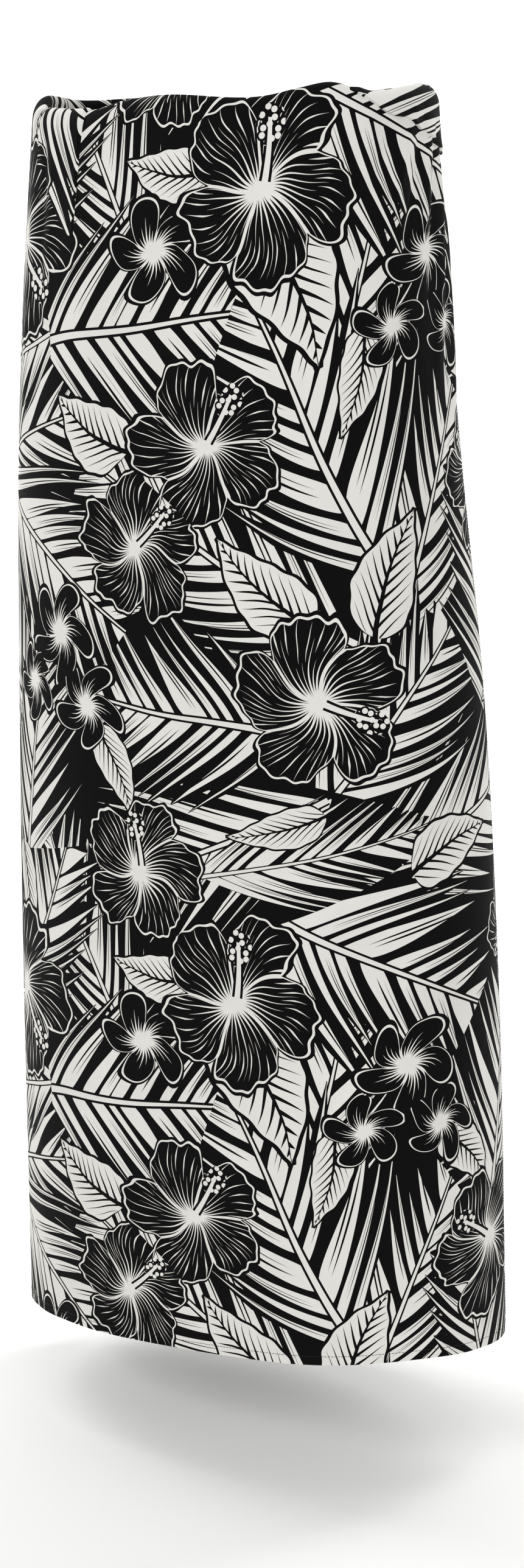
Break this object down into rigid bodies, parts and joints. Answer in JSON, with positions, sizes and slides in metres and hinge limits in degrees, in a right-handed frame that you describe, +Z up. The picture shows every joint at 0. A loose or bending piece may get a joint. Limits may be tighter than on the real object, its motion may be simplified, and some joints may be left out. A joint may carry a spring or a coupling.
{
  "type": "lavalava",
  "caption": "Ankle-length wrapped cotton lavalava in a black and off-white flower and palm print, worn hollow, open at waist and hem",
  "frame": {"origin": "centre of the waist's hollow, 20 mm below the highest of the waist edge, where the wearer's waist holds the cloth", "axes": "+Z up, the wearer faces -Y, the wearer's left is +X"},
  "size_m": [0.4523, 0.2563, 1.0637],
  "materials": {
    "printed_cotton": "plain-woven cotton, rotary printed in matt black with the flowers and leaves left off-white",
    "cotton_turned_in": "the same printed cotton where it is turned to the inside at the waist and the hems"
  },
  "bodies": {
    "root": {"outer_front": "printed_cotton", "outer_back": "printed_cotton", "under_front": "printed_cotton", "waist_turn_front": "cotton_turned_in", "waist_turn_back": "cotton_turned_in", "side_tuck": "printed_cotton", "corner_tuck": "printed_cotton", "hem_front": "cotton_turned_in", "hem_back": "cotton_turned_in", "hem_under": "cotton_turned_in", "flap_edge_hem": "cotton_turned_in"}
  },
  "joints": []
}
